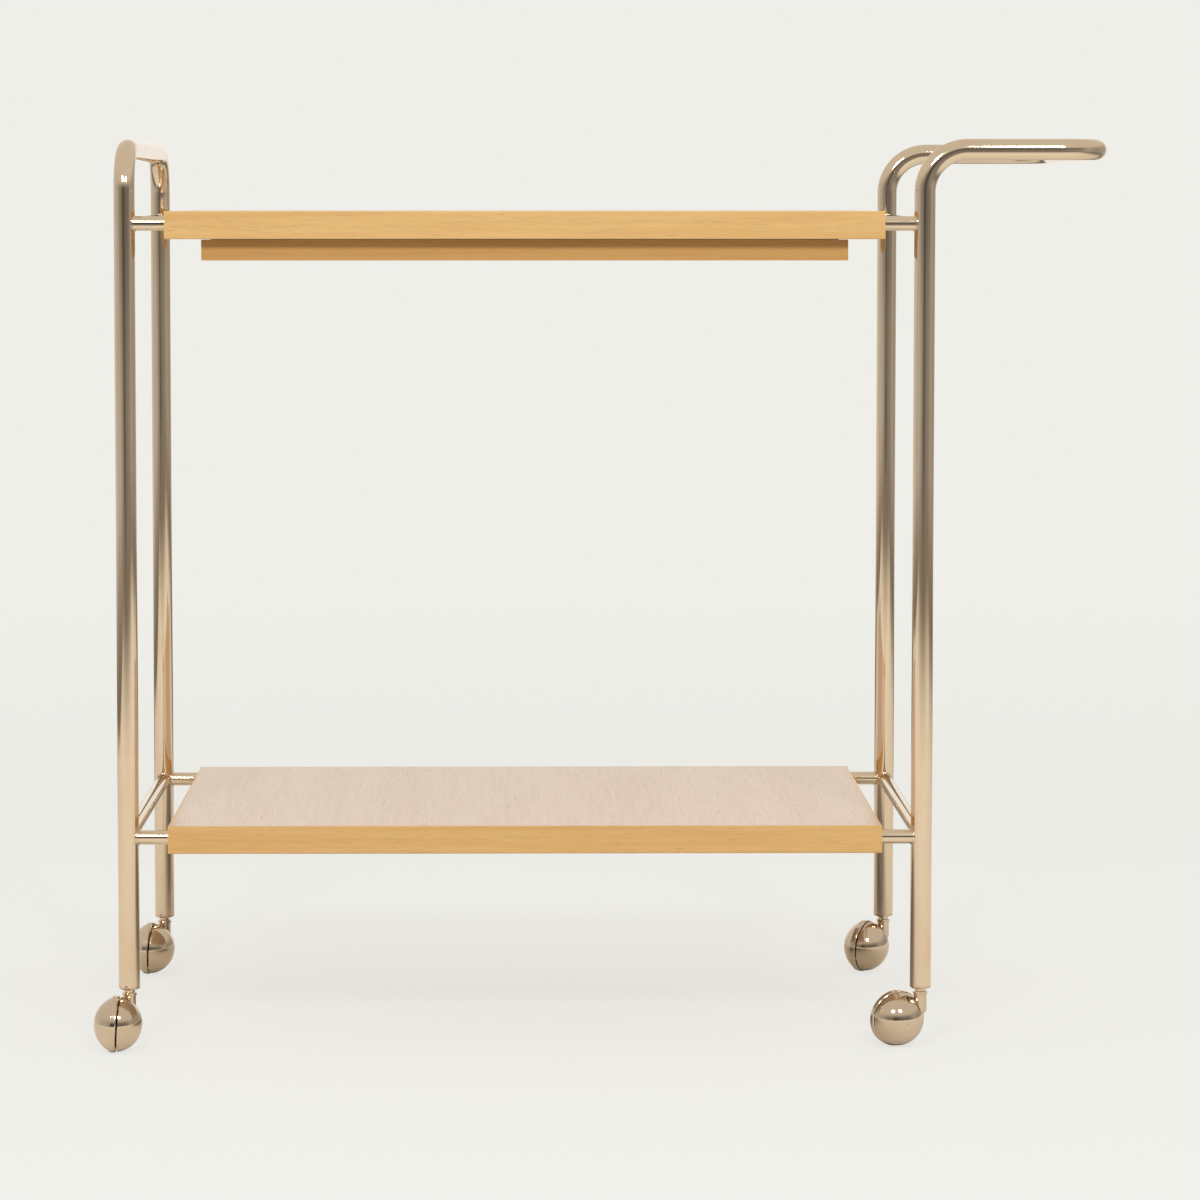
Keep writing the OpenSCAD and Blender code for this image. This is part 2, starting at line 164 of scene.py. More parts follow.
class OakSettings(PropertyGroup):
    """Colours of the oak"""

    light: FloatVectorProperty(
        name="Light wood", description="Colour of the late, dense wood", subtype="COLOR",
        default=(0.790, 0.510, 0.205), min=0, max=1,
    )
    dark: FloatVectorProperty(
        name="Dark wood", description="Colour of the early, open wood", subtype="COLOR",
        default=(0.675, 0.400, 0.140), min=0, max=1,
    )
    # The veneer colours are partly the veneer's own and partly a painted sheen: paler and greyer than the
    # edging's oak, for the shine of the lacquered faces.
    veneer_light_and_sheen: FloatVectorProperty(
        name="Veneer light and sheen", description="Light colour of the faces' veneer", subtype="COLOR",
        default=(0.745, 0.570, 0.440), min=0, max=1,
    )
    veneer_dark_and_sheen: FloatVectorProperty(
        name="Veneer dark and sheen", description="Dark colour of the faces' veneer", subtype="COLOR",
        default=(0.665, 0.495, 0.370), min=0, max=1,
    )


class StageSettings(PropertyGroup):
    """Camera, and the colour of the floor and backdrop"""

    camera_back: FloatProperty(
        name="Camera distance", description="From the camera to the front legs", default=3.7198,
        unit="LENGTH",
    )
    camera_height: FloatProperty(
        name="Camera height", description="Height of the camera above the floor", default=0.7645,
        unit="LENGTH",
    )
    camera_side: FloatProperty(
        name="Camera side step", description="Camera's place along the cart, from its middle",
        default=-0.0776, unit="LENGTH",
    )
    pitch: FloatProperty(
        name="Pitch", description="How far the camera looks down", default=math.radians(3.837),
        subtype="ANGLE",
    )
    yaw: FloatProperty(
        name="Yaw", description="How far the camera turns towards the handle",
        default=math.radians(0.515), subtype="ANGLE",
    )
    lens: FloatProperty(
        name="Lens", description="Focal length on a 36 mm sensor, in millimetres", default=124.545,
    )
    shift_x: FloatProperty(name="Shift X", description="Sideways lens shift", default=0.04)
    shift_y: FloatProperty(name="Shift Y", description="Upward lens shift", default=-0.10)
    backdrop: FloatVectorProperty(
        name="Backdrop", description="Colour of the paper behind the cart", subtype="COLOR",
        default=(0.863, 0.855, 0.815), min=0, max=1,
    )


# ---- Node helpers ----


def add_node(tree, kind, inputs=None, **attributes):
    """A node with attributes set and its inputs given as values or as sockets to link."""
    node = tree.nodes.new(kind)
    for name, value in attributes.items():
        setattr(node, name, value)
    for key, value in (inputs or {}).items():
        if isinstance(value, bpy.types.NodeSocket):
            tree.links.new(value, node.inputs[key])
        else:
            node.inputs[key].default_value = value
    return node


def maths(tree, operation, a, b=None, c=None):
    """The output of one Math node."""
    values = {i: v for i, v in enumerate((a, b, c)) if v is not None}
    return add_node(tree, "ShaderNodeMath", values, operation=operation).outputs[0]


def hypotenuse(tree, a, b):
    """The length of the long side over two short ones at right angles."""
    squares = maths(tree, "MULTIPLY", a, a), maths(tree, "MULTIPLY", b, b)
    return maths(tree, "SQRT", maths(tree, "ADD", *squares))


def between(tree, value, low, high, out_low=0.0, out_high=1.0):
    """A smooth step of a value from one range to another."""
    node = add_node(tree, "ShaderNodeMapRange", interpolation_type="SMOOTHSTEP")
    tree.links.new(value, node.inputs["Value"])
    for key, number in (("From Min", low), ("From Max", high), ("To Min", out_low), ("To Max", out_high)):
        node.inputs[key].default_value = number
    return node.outputs["Result"]


def mix_colours(tree, factor, a, b):
    """The colour output of a Mix node."""
    node = add_node(tree, "ShaderNodeMix", data_type="RGBA")
    for socket, value in ((node.inputs[0], factor), (node.inputs[6], a), (node.inputs[7], b)):
        if isinstance(value, bpy.types.NodeSocket):
            tree.links.new(value, socket)
        else:
            socket.default_value = value
    return node.outputs[2]


def rgba(colour):
    """A colour with full alpha."""
    return (*colour[:3], 1.0)


def tinted(colour, tint):
    """A colour with each channel multiplied by its own factor."""
    return [channel * factor for channel, factor in zip(colour, tint)]


def new_group(name, inputs, outputs):
    """A shader node group with named sockets: (name, socket type, default)."""
    tree = bpy.data.node_groups.new(name, "ShaderNodeTree")
    for label, kind, default in inputs:
        socket = tree.interface.new_socket(label, in_out="INPUT", socket_type=kind)
        if default is not None:
            socket.default_value = default
    for label, kind in outputs:
        tree.interface.new_socket(label, in_out="OUTPUT", socket_type=kind)
    return tree, tree.nodes.new("NodeGroupInput"), tree.nodes.new("NodeGroupOutput")


def oak_grain_group():
    """Plain-sawn oak with its grain along X: growth rings, streaks and open pores."""
    tree, inside, out = new_group(
        "Oak grain",
        [
            ("Vector", "NodeSocketVector", None),
            ("Light", "NodeSocketColor", (0.8, 0.5, 0.25, 1)),
            ("Dark", "NodeSocketColor", (0.6, 0.35, 0.15, 1)),
            ("Ring pitch", "NodeSocketFloat", 0.011),
            ("Figure", "NodeSocketFloat", 0.5),
        ],
        [("Color", "NodeSocketColor"), ("Roughness", "NodeSocketFloat"), ("Height", "NodeSocketFloat")],
    )
    place = inside.outputs["Vector"]

    def stretched(x, y, z):
        node = add_node(tree, "ShaderNodeVectorMath", {0: place, 1: (x, y, z)}, operation="MULTIPLY")
        return node.outputs[0]

    def noise(vector, detail, rough, distortion=0.0):
        return add_node(tree, "ShaderNodeTexNoise", {
            "Vector": vector, "Scale": 1.0, "Detail": detail, "Roughness": rough, "Distortion": distortion,
        }).outputs["Fac"]

    wander = noise(stretched(2.2, 9, 9), 3, 0.5)
    ripple = noise(stretched(9, 45, 45), 2, 0.5)
    split = add_node(tree, "ShaderNodeSeparateXYZ", {0: place})
    lean = maths(tree, "MULTIPLY_ADD", split.outputs["X"], 0.11, maths(tree, "MULTIPLY", wander, 0.10))
    depth = maths(tree, "ADD", maths(tree, "ADD", split.outputs["Z"], 0.03), lean)
    across = maths(tree, "MULTIPLY_ADD", ripple, 0.006, split.outputs["Y"])
    radius = hypotenuse(tree, depth, across)
    phase = maths(tree, "FRACT", maths(tree, "DIVIDE", radius, inside.outputs["Ring pitch"]))
    rise = between(tree, phase, 0.0, 0.72)
    fall = between(tree, phase, 0.80, 1.0, 1.0, 0.0)
    ring = maths(tree, "MULTIPLY", rise, fall)
    streak = noise(stretched(7, 210, 210), 5, 0.62)
    broad = noise(stretched(1.4, 22, 22), 3, 0.5)
    pores = noise(stretched(55, 1500, 1500), 2, 0.5)
    open_wood = maths(tree, "SUBTRACT", 1.0, maths(tree, "MULTIPLY", ring, 0.75))
    pore = maths(tree, "MULTIPLY", between(tree, pores, 0.60, 0.70), open_wood)

    figured = maths(tree, "MULTIPLY", ring, inside.outputs["Figure"])
    streaked = maths(tree, "MULTIPLY", between(tree, streak, 0.3, 0.72), 0.45)
    mottled = maths(tree, "MULTIPLY", between(tree, broad, 0.3, 0.7), 0.30)
    tone = maths(tree, "ADD", streaked, maths(tree, "ADD", mottled, figured))
    shade = between(tree, tone, 0.05, 1.15)
    wood = mix_colours(tree, shade, inside.outputs["Light"], inside.outputs["Dark"])
    pored = mix_colours(tree, maths(tree, "MULTIPLY", pore, 0.42), wood, PORE_BROWN)
    tree.links.new(pored, out.inputs["Color"])
    clean = maths(tree, "MULTIPLY_ADD", tone, 0.06, 0.30)
    rough = maths(tree, "ADD", clean, maths(tree, "MULTIPLY", pore, 0.22))
    tree.links.new(rough, out.inputs["Roughness"])
    relief = maths(tree, "SUBTRACT", maths(tree, "MULTIPLY", tone, 0.25), pore)
    tree.links.new(relief, out.inputs["Height"])


def handling_group():
    """Soft smudges and fine polishing marks, as a roughness and a height."""
    tree, inside, out = new_group(
        "Handling marks",
        [
            ("Vector", "NodeSocketVector", None),
            ("Clean", "NodeSocketFloat", 0.1),
            ("Smudged", "NodeSocketFloat", 0.1),
            ("Scale", "NodeSocketFloat", 1.0),
        ],
        [("Mask", "NodeSocketFloat"), ("Roughness", "NodeSocketFloat"), ("Height", "NodeSocketFloat")],
    )
    place = add_node(tree, "ShaderNodeVectorMath", {0: inside.outputs["Vector"]}, operation="SCALE")
    tree.links.new(inside.outputs["Scale"], place.inputs["Scale"])

    def noise(scale, detail, rough):
        return add_node(tree, "ShaderNodeTexNoise", {
            "Vector": place.outputs[0], "Scale": scale, "Detail": detail, "Roughness": rough,
        }).outputs["Fac"]

    cloud = between(tree, noise(26, 4, 0.55), 0.45, 0.72)
    fine = noise(420, 3, 0.6)
    mask = maths(tree, "MULTIPLY", cloud, maths(tree, "MULTIPLY_ADD", fine, 0.5, 0.6))
    tree.links.new(mask, out.inputs["Mask"])
    rough = maths(tree, "MULTIPLY_ADD", mask, inside.outputs["Smudged"], inside.outputs["Clean"])
    tree.links.new(rough, out.inputs["Roughness"])
    tree.links.new(noise(900, 2, 0.5), out.inputs["Height"])


def group_node(tree, group, inputs):
    """A node that runs one of the shader groups."""
    return add_node(tree, "ShaderNodeGroup", inputs, node_tree=bpy.data.node_groups[group])


def new_material(name):
    """An empty node material with its Principled shader and its object coordinates."""
    material = bpy.data.materials.new(name)
    material.use_nodes = True
    tree = material.node_tree
    tree.nodes.clear()
    shader = tree.nodes.new("ShaderNodeBsdfPrincipled")
    output = tree.nodes.new("ShaderNodeOutputMaterial")
    tree.links.new(shader.outputs[0], output.inputs["Surface"])
    place = tree.nodes.new("ShaderNodeTexCoord").outputs["Object"]
    return material, tree, shader, place


def bump(tree, shader, height, distance, strength=1.0):
    """Fine relief on a shader, from a height."""
    node = add_node(tree, "ShaderNodeBump", {"Height": height, "Distance": distance, "Strength": strength})
    tree.links.new(node.outputs[0], shader.inputs["Normal"])


# ---- Materials ----


def plated_metal(name, settings, scale=1.0, darken=1.0):
    """Polished plating with soft smudges; scale makes the smudges finer."""
    material, tree, shader, place = new_material(name)
    marks = group_node(tree, "Handling marks", {
        "Vector": place, "Clean": settings.roughness, "Smudged": settings.smudge, "Scale": scale,
    })
    bright = tinted(settings.plating, (darken, darken, darken))
    worn = tinted(bright, WORN_TINT)
    colour = mix_colours(tree, marks.outputs["Mask"], rgba(bright), rgba(worn))
    tree.links.new(colour, shader.inputs["Base Color"])
    tree.links.new(marks.outputs["Roughness"], shader.inputs["Roughness"])
    shader.inputs["Metallic"].default_value = 1.0
    bump(tree, shader, marks.outputs["Height"], 0.000004, 0.4)
    return material


def oak(name, light, dark, turn=0.0, offset=(0, 0, 0), pitch=0.011, figure=0.5, coat=0.35):
    """Oak cut at an offset in the log, its grain along X or turned about Z."""
    material, tree, shader, place = new_material(name)
    mapped = add_node(tree, "ShaderNodeMapping", {
        "Vector": place, "Location": offset, "Rotation": (0, 0, turn),
    }).outputs[0]
    grain = group_node(tree, "Oak grain", {
        "Vector": mapped, "Light": rgba(light), "Dark": rgba(dark), "Ring pitch": pitch, "Figure": figure,
    })
    tree.links.new(grain.outputs["Color"], shader.inputs["Base Color"])
    tree.links.new(grain.outputs["Roughness"], shader.inputs["Roughness"])
    shader.inputs["Coat Weight"].default_value = coat
    shader.inputs["Coat Roughness"].default_value = 0.22
    bump(tree, shader, grain.outputs["Height"], 0.00008, 0.6)
    return material


def plastic(name, colour):
    """Matt plastic, paler where it is rubbed."""
    material, tree, shader, place = new_material(name)
    marks = group_node(tree, "Handling marks", {
        "Vector": place, "Clean": 0.42, "Smudged": 0.15, "Scale": 1.0,
    })
    shade = mix_colours(tree, marks.outputs["Mask"], rgba(colour), rgba([c * 1.5 for c in colour]))
    tree.links.new(shade, shader.inputs["Base Color"])
    tree.links.new(marks.outputs["Roughness"], shader.inputs["Roughness"])
    bump(tree, shader, marks.outputs["Height"], 0.00003)
    return material


def make_materials(scene):
    """Every finish on the cart."""
    metal, wood = scene.cart_metal, scene.cart_oak
    oak_grain_group()
    handling_group()
    plated_metal("tube_plating", metal)
    plated_metal("caster_plating", metal, scale=1.4, darken=0.88)
    plated_metal("axle_steel", metal, darken=0.7)
    plated_metal("screw_zinc", metal, darken=0.9)

    strip = {"pitch": 0.004, "figure": 0.12}
    # Painted shade: a darker copy of the oak for the lower shelf's edging.
    lower = tinted(wood.light, LOWER_SHADE_ON_LIGHT_WOOD), tinted(wood.dark, LOWER_SHADE_ON_DARK_WOOD)
    # Painted shade: a darker copy of the oak for the drawer front, recessed under the top shelf.
    front = tinted(wood.light, DRAWER_SHADE_ON_LIGHT_WOOD), tinted(wood.dark, DRAWER_SHADE_ON_DARK_WOOD)
    runner = tinted(wood.light, RUNNER_TINT), tinted(wood.dark, RUNNER_TINT)
    oak("long_edging_oak", wood.light, wood.dark, offset=(0.31, 0.02, 0.055), **strip)
    oak("shaded_lower_edging_oak", *lower, offset=(-0.13, 0.04, 0.17), pitch=0.004, figure=0.14)
    oak("end_edging_oak", wood.light, wood.dark, turn=QUARTER_TURN, offset=(0.1, 0.07, 0.03), **strip)
    oak("shaded_drawer_front_oak", *front, offset=(-0.2, 0.05, 0.03), **strip)
    oak("runner_oak", *runner, turn=QUARTER_TURN, coat=0.0)

    veneer = {"turn": QUARTER_TURN, "figure": 0.14}
    # Painted sheen: the faces' veneer colours carry the shine of their lacquer.
    oak("top_veneer_oak_and_sheen", wood.veneer_light_and_sheen, wood.veneer_dark_and_sheen, offset=(0.12, 0.01, -0.70), **veneer)
    oak("lower_veneer_oak_and_sheen", wood.veneer_light_and_sheen, wood.veneer_dark_and_sheen, offset=(0.02, 0.03, -0.17), **veneer)
    oak("drawer_birch", BIRCH_LIGHT, BIRCH_DARK, offset=(0, 0, 0.3), pitch=0.02, figure=0.2, coat=0.1)
    plastic("washer_nylon", NYLON_BLACK)


def dress(names, material):
    """Puts one material on some of the CAD nodes."""
    for name in names:
        mesh = NODES[name].data
        mesh.materials.clear()
        mesh.materials.append(bpy.data.materials[material])


# ---- Geometry node helpers ----


def new_shape_tree(name, inputs):
    """A geometry node tree with named inputs: (name, socket type, default)."""
    tree = bpy.data.node_groups.new(name, "GeometryNodeTree")
    tree.interface.new_socket("Geometry", in_out="INPUT", socket_type="NodeSocketGeometry")
    for label, kind, default in inputs:
        socket = tree.interface.new_socket(label, in_out="INPUT", socket_type=kind)
        if default is not None:
            socket.default_value = default
    tree.interface.new_socket("Material", in_out="INPUT", socket_type="NodeSocketMaterial")
    tree.interface.new_socket("Geometry", in_out="OUTPUT", socket_type="NodeSocketGeometry")
    return tree, tree.nodes.new("NodeGroupInput"), tree.nodes.new("NodeGroupOutput")


def finish_shape(tree, inside, out, geometry, smooth=True):
    """Ends a tree: smooth shading, real instances and one material."""
    shaded = add_node(tree, "GeometryNodeSetShadeSmooth", {"Geometry": geometry, "Shade Smooth": smooth})
    real = add_node(tree, "GeometryNodeRealizeInstances", {"Geometry": shaded.outputs[0]})
    named = add_node(tree, "GeometryNodeSetMaterial", {
        "Geometry": real.outputs[0], "Material": inside.outputs["Material"],
    })
    tree.links.new(named.outputs[0], out.inputs[0])


def path_host(name, points):
    """A curve object with one open straight-sided spline."""
    curve = bpy.data.curves.new(name, "CURVE")
    curve.dimensions = "3D"
    spline = curve.splines.new("POLY")
    spline.points.add(len(points) - 1)
    for point, place in zip(spline.points, points):
        point.co = (*place, 1)
    return bpy.data.objects.new(name, curve)


def mesh_host(name, points, edges=(), **attributes):
    """A mesh object of points, or of lines, with float attributes on its points."""
    mesh = bpy.data.meshes.new(name)
    mesh.from_pydata(points, edges, [])
    for label, values in attributes.items():
        layer = mesh.attributes.new(label, "FLOAT", "POINT")
        layer.data.foreach_set("value", values)
    return bpy.data.objects.new(name, mesh)


def grow(name, host, tree, values, finish=()):
    """Runs a node tree, then any further modifiers, and keeps the result as a plain mesh object."""
    scene = bpy.context.scene
    scene.collection.objects.link(host)
    nodes = host.modifiers.new("Shape", "NODES")
    nodes.node_group = tree
    for item in tree.interface.items_tree:
        if item.in_out == "INPUT" and item.name in values:
            nodes[item.identifier] = values[item.name]
    for kind, settings in finish:
        modifier = host.modifiers.new(kind.title(), kind)
        for key, value in settings.items():
            setattr(modifier, key, value)
    ready = host.evaluated_get(bpy.context.evaluated_depsgraph_get())
    mesh = bpy.data.meshes.new_from_object(ready)
    mesh.name = name
    bpy.data.objects.remove(host)
    piece = bpy.data.objects.new(name, mesh)
    scene.collection.objects.link(piece)
    return piece


def keep(piece, body, slot, *nodes):
    """Hands a finished piece to the frame."""
    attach(piece, body)
    if nodes:
        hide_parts(*nodes)


def middle_of(node):
    """The middle of a node's box."""
    low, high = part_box(node)
    return (low + high) / 2


# ---- Tube frame ----


def swept_tube_tree():
    """A bent tube: the path's corners are rounded and a round section follows it."""
    tree, inside, out = new_shape_tree("Bent tube", [
        ("Bend radius", "NodeSocketFloat", 0.04),
        ("Tube radius", "NodeSocketFloat", 0.01),
    ])
    bent = add_node(tree, "GeometryNodeFilletCurve", {
        "Curve": inside.outputs["Geometry"], "Radius": inside.outputs["Bend radius"], "Count": 28,
    }, mode="POLY")
    section = add_node(tree, "GeometryNodeCurvePrimitiveCircle", {
        "Radius": inside.outputs["Tube radius"], "Resolution": 64,
    })
    tube = add_node(tree, "GeometryNodeCurveToMesh", {
        "Curve": bent.outputs[0], "Profile Curve": section.outputs[0],
    })
    finish_shape(tree, inside, out, tube.outputs[0])
    return tree


def make_bent_tube(name, points, tube_radius, settings):
    """One frame tube along its axis points, hollow and with eased ends."""
    values = {
        "Bend radius": settings.bend_radius,
        "Tube radius": tube_radius,
        "Material": bpy.data.materials["tube_plating"],
    }
    finish = (
        ("SOLIDIFY", {"thickness": settings.wall, "offset": -1, "use_quality_normals": True}),
        ("BEVEL", {
            "width": 0.0003, "segments": 3, "limit_method": "ANGLE", "angle_limit": math.radians(60),
        }),
    )
    piece = grow(name + "_bent", path_host(name + "_path", points), bpy.data.node_groups["Bent tube"],
                 values, finish)
    keep(piece, "root", "plated_tube", name)


class CART_OT_end_frames(Operator):
    """Makes the two end frames from one bent tube each"""

    bl_idname = "cart.end_frames"
    bl_label = "End Frames"

    def execute(self, context):
        settings = context.scene.cart_metal
        swept_tube_tree()
        low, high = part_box("left_frame_tube")
        r = (high.x - low.x) / 2
        x, front, back, top = low.x + r, low.y + r, high.y - r, high.z - r
        arch = [(x, front, low.z), (x, front, top), (x, back, top), (x, back, low.z)]
        make_bent_tube("left_frame_tube", arch, r, settings)
        low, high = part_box("right_frame_tube")
        leg, grip = low.x + r, high.x - r
        handle = [
            (leg, front, low.z), (leg, front, top), (grip, front, top),
            (grip, back, top), (leg, back, top), (leg, back, low.z),
        ]
        make_bent_tube("right_frame_tube", handle, r, settings)
        return {"FINISHED"}


# ---- Rails and shelf rods ----


def soldered_rods_tree():
    """Round rods along the host's lines, and a solder bead where a rod meets an upright tube."""
    tree, inside, out = new_shape_tree("Soldered rods", [
        ("Rod radius", "NodeSocketFloat", 0.0065),
        ("Tube radius", "NodeSocketFloat", 0.0095),
        ("Bead radius", "NodeSocketFloat", 0.001),
    ])
    lines = add_node(tree, "GeometryNodeMeshToCurve", {"Mesh": inside.outputs["Geometry"]})
    section = add_node(tree, "GeometryNodeCurvePrimitiveCircle", {
        "Radius": inside.outputs["Rod radius"], "Resolution": 48,
    })
    rods = add_node(tree, "GeometryNodeCurveToMesh", {
        "Curve": lines.outputs[0], "Profile Curve": section.outputs[0], "Fill Caps": True,
    })

    # The bead follows the saddle where a rod along +X meets a tube along Z.
    ring = add_node(tree, "GeometryNodeCurvePrimitiveCircle", {
        "Radius": inside.outputs["Rod radius"], "Resolution": 72,
    })
    place = tree.nodes.new("GeometryNodeInputPosition").outputs[0]
    split = add_node(tree, "ShaderNodeSeparateXYZ", {0: place})
    tube_squared = maths(tree, "POWER", inside.outputs["Tube radius"], 2.0)
    out_of_tube = maths(tree, "SQRT", maths(
        tree, "SUBTRACT", tube_squared, maths(tree, "POWER", split.outputs["X"], 2.0)))
    on_saddle = add_node(tree, "ShaderNodeCombineXYZ", {
        "X": out_of_tube, "Y": split.outputs["X"], "Z": split.outputs["Y"],
    })
    saddle = add_node(tree, "GeometryNodeSetPosition", {
        "Geometry": ring.outputs[0], "Position": on_saddle.outputs[0],
    })
    bead_section = add_node(tree, "GeometryNodeCurvePrimitiveCircle", {
        "Radius": inside.outputs["Bead radius"], "Resolution": 10,
    })
    bead = add_node(tree, "GeometryNodeCurveToMesh", {
        "Curve": saddle.outputs[0], "Profile Curve": bead_section.outputs[0],
    })
    is_joint = add_node(tree, "GeometryNodeInputNamedAttribute", {"Name": "joint"}, data_type="FLOAT")
    heading = add_node(tree, "GeometryNodeInputNamedAttribute", {"Name": "heading"}, data_type="FLOAT")
    turn = add_node(tree, "ShaderNodeCombineXYZ", {"Z": heading.outputs[0]})
    facing = add_node(tree, "FunctionNodeEulerToRotation", {"Euler": turn.outputs[0]})
    beads = add_node(tree, "GeometryNodeInstanceOnPoints", {
        "Points": inside.outputs["Geometry"],
        "Selection": is_joint.outputs[0],
        "Instance": bead.outputs[0],
        "Rotation": facing.outputs[0],
    })
    both = tree.nodes.new("GeometryNodeJoinGeometry")
    tree.links.new(rods.outputs[0], both.inputs[0])
    tree.links.new(beads.outputs[0], both.inputs[0])
    finish_shape(tree, inside, out, both.outputs[0])
    return tree


def rod_lines():
    """The axes of the rails and rods, with the tube joints marked and turned to face along the rod."""
    points, edges, joints, headings = [], [], [], []
    tube_low, tube_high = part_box("left_frame_tube")
    r = (tube_high.x - tube_low.x) / 2
    uprights = {"left": tube_low.x + r, "right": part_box("right_frame_tube")[0].x + r}
    ends = {"front": tube_low.y + r, "back": tube_high.y - r}

    def line(start, start_joint, start_heading, end, end_joint, end_heading):
        edges.append((len(points), len(points) + 1))
        points.extend((start, end))
        joints.extend((start_joint, end_joint))
        headings.extend((start_heading, end_heading))

    for level, shelf in (("upper", "top_shelf"), ("lower", "lower_shelf")):
        z = middle_of(f"{level}_left_rail").z
        for side in ("left", "right"):
            x = uprights[side]
            line((x, ends["front"], z), 1, QUARTER_TURN, (x, ends["back"], z), 1, -QUARTER_TURN)
            low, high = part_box(f"{shelf}_{side}_edging")
            shelf_x = high.x - MM if side == "left" else low.x + MM
            heading = 0.0 if side == "left" else math.pi
            for y in ends.values():
                line((x, y, z), 1, heading, (shelf_x, y, z), 0, 0.0)
    return points, edges, joints, headings


class CART_OT_rails_and_rods(Operator):
    """Makes the side rails and the short rods that carry the shelves"""

    bl_idname = "cart.rails_and_rods"
    bl_label = "Rails and Shelf Rods"

    def execute(self, context):
        settings = context.scene.cart_metal
        tree = soldered_rods_tree()
        points, edges, joints, headings = rod_lines()
        host = mesh_host("rod_lines", points, edges, joint=joints, heading=headings)
        tube_low, tube_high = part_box("left_frame_tube")
        rail_low, rail_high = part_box("upper_left_rail")
        piece = grow("rails_and_rods", host, tree, {
            "Rod radius": (rail_high.z - rail_low.z) / 2,
            "Tube radius": (tube_high.x - tube_low.x) / 2,
            "Bead radius": settings.bead,
            "Material": bpy.data.materials["tube_plating"],
        })
        keep(piece, "root", "plated_tube", *[n for n in NODES if n.endswith(("_rail", "_rod"))])
        return {"FINISHED"}


# ---- Screws ----


def wood_screws_tree():
    """A countersunk screw with a cross recess at each of the host's points, its head downwards."""
    tree, inside, out = new_shape_tree("Wood screws", [
        ("Head radius", "NodeSocketFloat", 0.0035),
        ("Head depth", "NodeSocketFloat", 0.0024),
        ("Shank radius", "NodeSocketFloat", 0.00175),
        ("Length", "NodeSocketFloat", 0.020),
    ])
    head_radius = inside.outputs["Head radius"]
    head = add_node(tree, "GeometryNodeMeshCone", {
        "Vertices": 40, "Radius Bottom": head_radius, "Radius Top": inside.outputs["Shank radius"],
        "Depth": inside.outputs["Head depth"],
    })
    arm = add_node(tree, "ShaderNodeCombineXYZ", {
        "X": maths(tree, "MULTIPLY", head_radius, 1.15),
        "Y": maths(tree, "MULTIPLY", head_radius, 0.26),
        "Z": inside.outputs["Head depth"],
    })
    slot = add_node(tree, "GeometryNodeMeshCube", {"Size": arm.outputs[0]})
    second = add_node(tree, "GeometryNodeTransform", {
        "Geometry": slot.outputs[0], "Rotation": (0, 0, QUARTER_TURN),
    })
    recessed = add_node(tree, "GeometryNodeMeshBoolean", {"Mesh 1": head.outputs[0]},
                        operation="DIFFERENCE", solver="EXACT")
    tree.links.new(slot.outputs[0], recessed.inputs["Mesh 2"])
    tree.links.new(second.outputs[0], recessed.inputs["Mesh 2"])
    shank = add_node(tree, "GeometryNodeMeshCylinder", {
        "Vertices": 24, "Radius": inside.outputs["Shank radius"], "Depth": inside.outputs["Length"],
    })
    lift = add_node(tree, "ShaderNodeCombineXYZ", {
        "Z": maths(tree, "MULTIPLY_ADD", inside.outputs["Length"], 0.5, maths(
            tree, "MULTIPLY", inside.outputs["Head depth"], 0.8)),
    })
    raised = add_node(tree, "GeometryNodeTransform", {
        "Geometry": shank.outputs[0], "Translation": lift.outputs[0],
    })
    screw = tree.nodes.new("GeometryNodeJoinGeometry")
    tree.links.new(recessed.outputs[0], screw.inputs[0])
    tree.links.new(raised.outputs[0], screw.inputs[0])
    heading = add_node(tree, "GeometryNodeInputNamedAttribute", {"Name": "heading"}, data_type="FLOAT")
    turn = add_node(tree, "ShaderNodeCombineXYZ", {"Z": heading.outputs[0]})
    facing = add_node(tree, "FunctionNodeEulerToRotation", {"Euler": turn.outputs[0]})
    screws = add_node(tree, "GeometryNodeInstanceOnPoints", {
        "Points": inside.outputs["Geometry"], "Instance": screw.outputs[0], "Rotation": facing.outputs[0],
    })
    finish_shape(tree, inside, out, screws.outputs[0], smooth=False)
    return tree


class CART_OT_screws(Operator):
    """Makes the wood screws in the runners and in the drawer's stop"""

    bl_idname = "cart.screws"
    bl_label = "Underside Screws"

    def execute(self, context):
        settings = context.scene.cart_screws
        tree = wood_screws_tree()
        spots = []
        y = middle_of("left_frame_tube").y
        for side in ("left", "right"):
            low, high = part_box(f"{side}_runner")
            for step in RUNNER_SCREWS:
                spots.append(((low.x + high.x) / 2, y + step, low.z))
        low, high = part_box("drawer_stop")
        for step in STOP_SCREWS:
            spots.append(((low.x + high.x) / 2 + step, (low.y + high.y) / 2, low.z))
        turns = [FIRST_SCREW_TURN + SCREW_TURN_STEP * i for i in range(len(spots))]
        host = mesh_host("screw_points", spots, heading=turns)
        piece = grow("underside_screws_driven", host, tree, {
            "Head radius": settings.head_radius,
            "Head depth": settings.head_depth,
            "Shank radius": settings.shank_radius,
            "Length": settings.length,
            "Material": bpy.data.materials["screw_zinc"],
        })
        keep(piece, "root", "zinc", "underside_screws")
        return {"FINISHED"}


class CART_OT_finishes(Operator):
    """Makes every material and puts it on the pieces"""

    bl_idname = "cart.finishes"
    bl_label = "Finishes"

    def execute(self, context):
        make_materials(context.scene)
        for endings, material in FINISHES:
            dress([n for n in NODES if n.endswith(endings)], material)
        return {"FINISHED"}


# ---- Stage ----


